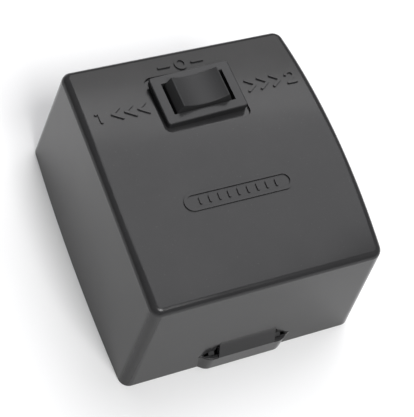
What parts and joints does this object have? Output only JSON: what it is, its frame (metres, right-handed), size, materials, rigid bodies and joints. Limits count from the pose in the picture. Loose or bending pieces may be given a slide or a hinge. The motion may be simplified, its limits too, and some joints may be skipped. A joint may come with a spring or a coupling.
{
  "type": "rocker switch control box",
  "caption": "Surface-mounted wall control box with a dished three-position rocker switch, centre off, for running a ventilating fan in either direction",
  "frame": {"origin": "centre of the wall face, midway between the two wall screw holes; the box lies on its back, z = 0 is the wall", "axes": "+X to the right of the front, +Y up the wall towards the off mark, +Z out of the wall through the front"},
  "size_m": [0.0774, 0.0853, 0.0518],
  "materials": {
    "cover_plastic": "smooth moulded charcoal ABS, semi-gloss",
    "plate_plastic": "moulded charcoal ABS, satin",
    "switch_plastic": "moulded charcoal nylon, semi-gloss",
    "switch_base_plastic": "black thermoset",
    "rocker_plastic": "smooth charcoal plastic, semi-gloss",
    "grommet_rubber": "black soft PVC",
    "screw_steel": "bright zinc-plated steel",
    "spring_steel": "spring steel wire",
    "plunger_brass": "turned brass",
    "contact_brass": "stamped brass",
    "contact_silver": "silver alloy contact",
    "receptacle_brass": "tinned brass",
    "sleeve_pvc": "milky flexible PVC",
    "block_nylon": "natural white nylon",
    "capacitor_plastic": "black moulded polypropylene",
    "capacitor_resin": "dark potting resin, slightly glossy",
    "wire_black": "black PVC insulation",
    "wire_blue": "blue PVC insulation",
    "wire_brown": "brown PVC insulation",
    "wire_red": "red PVC insulation"
  },
  "bodies": {
    "root": {"front_cover": "cover_plastic", "back_plate": "plate_plastic", "cable_grommet": "grommet_rubber", "cable_clamp_bar": "plate_plastic", "cable_clamp_screws": "screw_steel", "switch_body": "switch_plastic", "switch_base": "switch_base_plastic", "common_terminal": "contact_brass", "intake_terminal": "contact_brass", "exhaust_terminal": "contact_brass", "fixed_contact_rivets": "contact_silver", "tab_receptacles": "receptacle_brass", "receptacle_sleeves": "sleeve_pvc", "terminal_block_body": "block_nylon", "terminal_block_inserts": "contact_brass", "terminal_block_screws": "screw_steel", "terminal_block_fixing_screws": "screw_steel", "capacitor_case": "capacitor_plastic", "capacitor_resin": "capacitor_resin", "capacitor_screw": "screw_steel", "capacitor_wire_a": "wire_black", "capacitor_wire_b": "wire_black", "wire_intake": "wire_blue", "wire_line": "wire_brown", "wire_exhaust": "wire_red"},
    "rocker": {"rocker_button": "rocker_plastic", "plunger_spring": "spring_steel"},
    "plunger": {"contact_plunger": "plunger_brass"},
    "see_saw": {"moving_contact": "contact_brass", "moving_contact_rivets": "contact_silver"}
  },
  "joints": [
    {"name": "rocker_tilt", "type": "hinge", "parent": "root", "child": "rocker", "pos_m": [0.00013, 0.02109, 0.04453], "axis": [-0.0314, 0.9995, -0.004], "range_deg": [-11, 11]},
    {"name": "plunger_slide", "type": "slide", "parent": "rocker", "child": "plunger", "axis": [-0.0166, 0.0035, 0.9999], "range_m": [0, 0.0006], "stiffness_N_per_m": 300, "springref_m": -0.002, "deforming": ["plunger_spring"]},
    {"name": "see_saw_tilt", "type": "hinge", "parent": "root", "child": "see_saw", "pos_m": [0.00024, 0.02107, 0.03761], "axis": [-0.0314, 0.9995, -0.004], "range_deg": [-7.5, 7.5]}
  ],
  "couplings": [
    {"joint": "see_saw_tilt", "follows": "rocker_tilt", "ratio": -0.68}
  ]
}
